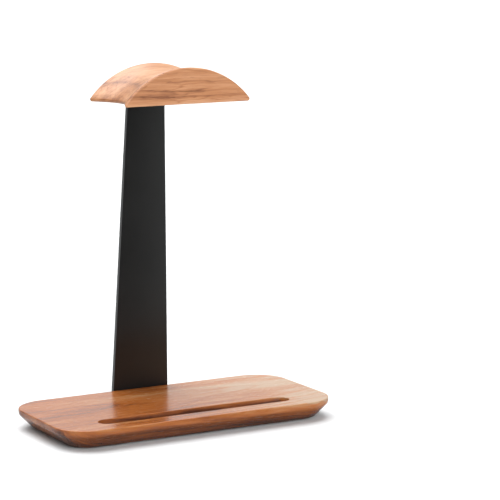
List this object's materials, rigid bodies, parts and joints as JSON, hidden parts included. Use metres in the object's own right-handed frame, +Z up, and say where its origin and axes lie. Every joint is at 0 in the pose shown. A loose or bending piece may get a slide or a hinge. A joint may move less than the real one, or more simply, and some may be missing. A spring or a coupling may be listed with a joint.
{
  "type": "headphone stand",
  "caption": "Headphone stand: wooden tray with a pen groove, one leaning tapered steel strap, and a half-moon wooden saddle with a concave headband seat.",
  "frame": {"origin": "on the desk, at the centre of the stand's footprint box", "axes": "+Z up, -Y towards the user (the pen groove side), +X to the right seen from the front"},
  "size_m": [0.224, 0.1194, 0.2682],
  "materials": {
    "walnut_tray": "satin oiled walnut, grain along X",
    "walnut_saddle": "satin oiled walnut, grain along X",
    "black_powder_coat": "satin black powder coat on steel sheet",
    "insert_brass": "plain turned brass",
    "black_zinc": "black zinc plated steel",
    "foot_rubber": "matt black rubber"
  },
  "bodies": {
    "root": {"base_tray": "walnut_tray", "saddle_rest": "walnut_saddle", "upright_bracket": "black_powder_coat", "base_insert_1": "insert_brass", "base_insert_2": "insert_brass", "base_insert_3": "insert_brass", "base_insert_4": "insert_brass", "saddle_insert_front": "insert_brass", "saddle_insert_rear": "insert_brass", "base_screw_1": "black_zinc", "base_screw_2": "black_zinc", "base_screw_3": "black_zinc", "base_screw_4": "black_zinc", "saddle_screw_front": "black_zinc", "saddle_screw_rear": "black_zinc", "foot_pad_1": "foot_rubber", "foot_pad_2": "foot_rubber", "foot_pad_3": "foot_rubber", "foot_pad_4": "foot_rubber"}
  },
  "joints": []
}
